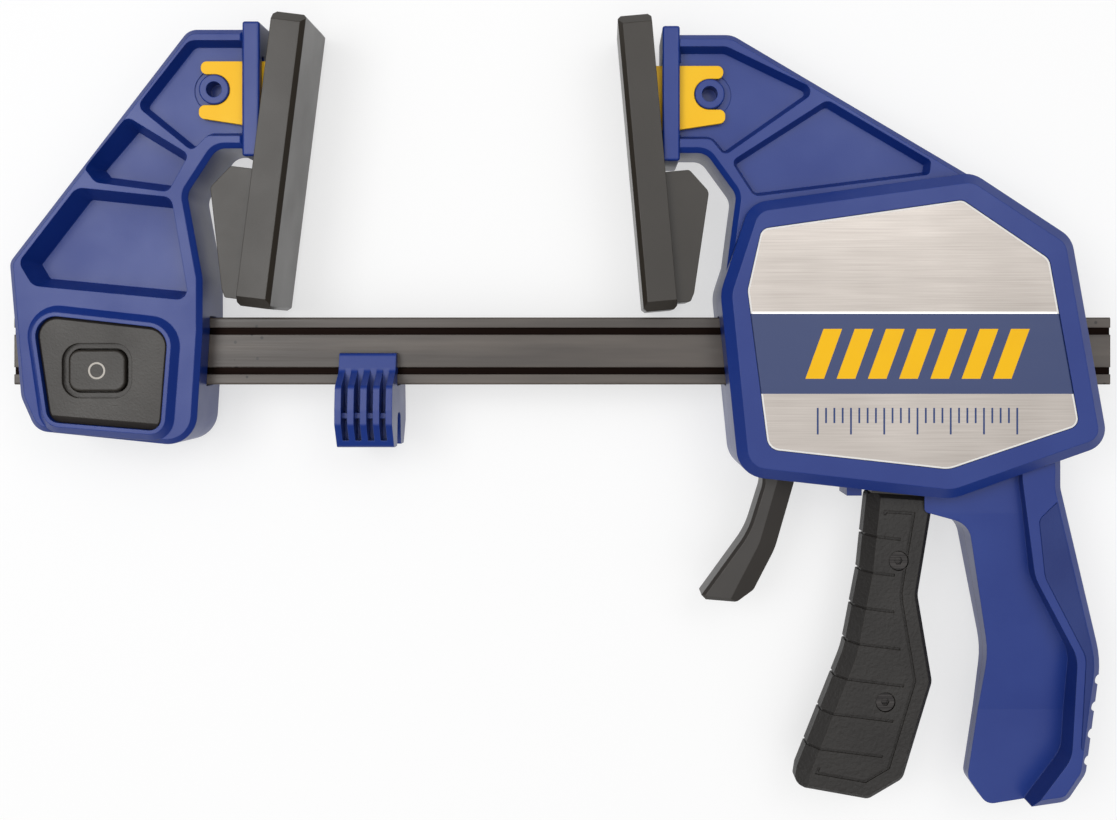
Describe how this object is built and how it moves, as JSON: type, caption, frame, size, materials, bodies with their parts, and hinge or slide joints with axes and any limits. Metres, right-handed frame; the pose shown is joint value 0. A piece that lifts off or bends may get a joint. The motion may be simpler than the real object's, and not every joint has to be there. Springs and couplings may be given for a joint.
{
  "type": "bar clamp",
  "caption": "One-handed bar clamp lying on its side: fixed jaw and pad on a steel bar, sliding jaw with handle, trigger, release lever and brake plates.",
  "frame": {"origin": "middle of the bounding box, on the surface that the clamp lies on", "axes": "+X along the bar from the fixed jaw to the moving jaw, +Y from the handle up to the jaws' tips, +Z away from the surface, out of the label side"},
  "size_m": [0.3426, 0.2452, 0.04],
  "materials": {
    "bar_steel": "dark rolled steel, semi-matte",
    "blue_plastic": "moulded, fine satin texture",
    "black_plastic": "moulded, satin",
    "pad_rubber": "matte, soft",
    "yellow_plastic": "moulded, smooth",
    "label_steel": "brushed along the bar, with a slate band",
    "grip_blue": "fine spark texture",
    "trigger_plastic": "fine pebble texture",
    "plain_steel": "ground",
    "spring_steel": "drawn wire",
    "screw_steel": "black oxide"
  },
  "bodies": {
    "bar_and_jaw": {"bar": "bar_steel", "fixed_jaw": "blue_plastic", "latch_cover": "black_plastic", "latch_spring": "spring_steel"},
    "push_button": {"push_button": "black_plastic"},
    "latch_key": {"latch_key": "plain_steel"},
    "fixed_pad": {"fixed_pad": "pad_rubber", "fixed_pad_clip": "yellow_plastic"},
    "bar_clip": {"bar_clip": "blue_plastic"},
    "moving_jaw": {"housing_front": "blue_plastic", "housing_rear": "blue_plastic", "housing_screws": "screw_steel", "label_plate": "label_steel", "handle_grip_front": "grip_blue", "handle_grip_rear": "grip_blue", "trigger_pin": "plain_steel", "brake_pin": "plain_steel", "drive_spring": "spring_steel", "brake_spring": "spring_steel"},
    "moving_pad": {"moving_pad": "pad_rubber", "moving_pad_clip": "yellow_plastic"},
    "trigger": {"trigger_core": "black_plastic", "trigger_grip_front": "trigger_plastic", "trigger_grip_rear": "trigger_plastic", "trigger_screws": "screw_steel"},
    "drive_plates": {"drive_plates": "plain_steel"},
    "release_lever": {"release_lever": "black_plastic", "brake_plates": "plain_steel"}
  },
  "joints": [
    {"name": "jaw_slide", "type": "slide", "parent": "bar_and_jaw", "child": "moving_jaw", "axis": [-1, 0, 0], "range_m": [0, 0.091]},
    {"name": "trigger_pull", "type": "hinge", "parent": "moving_jaw", "child": "trigger", "pos_m": [0.1053, 0.04382, 0.02], "axis": [0, 0, 1], "range_deg": [0, 5.5], "stiffness_Nm_per_rad": 2, "springref_deg": -5.73, "deforming": ["drive_spring"]},
    {"name": "drive_plate_push", "type": "slide", "parent": "moving_jaw", "child": "drive_plates", "axis": [1, 0, 0], "range_m": [0, 0.00432]},
    {"name": "lever_pull", "type": "hinge", "parent": "moving_jaw", "child": "release_lever", "pos_m": [0.0736, 0.04132, 0.02], "axis": [0, 0, 1], "range_deg": [0, 7], "stiffness_Nm_per_rad": 0.6, "springref_deg": -5.73, "deforming": ["brake_spring"]},
    {"name": "moving_pad_rock", "type": "hinge", "parent": "moving_jaw", "child": "moving_pad", "pos_m": [0.0455, 0.09782, 0.02], "axis": [0, 0, 1], "range_deg": [-4, 4]},
    {"name": "fixed_pad_rock", "type": "hinge", "parent": "bar_and_jaw", "child": "fixed_pad", "pos_m": [-0.1067, 0.09922, 0.02], "axis": [0, 0, 1], "range_deg": [-4, 4]},
    {"name": "button_push", "type": "slide", "parent": "bar_and_jaw", "child": "push_button", "axis": [0, 0, -1], "range_m": [0, 0.003], "stiffness_N_per_m": 150, "springref_m": -0.002, "deforming": ["latch_spring"]},
    {"name": "latch_drop", "type": "slide", "parent": "bar_and_jaw", "child": "latch_key", "axis": [0, -1, 0], "range_m": [0, 0.003]},
    {"name": "clip_slide", "type": "slide", "parent": "bar_and_jaw", "child": "bar_clip", "axis": [1, 0, 0], "range_m": [-0.04, 0.01]}
  ],
  "couplings": [
    {"joint": "drive_plate_push", "follows": "trigger_pull", "m_per_rad": 0.045},
    {"joint": "latch_drop", "follows": "button_push", "ratio": 1}
  ]
}
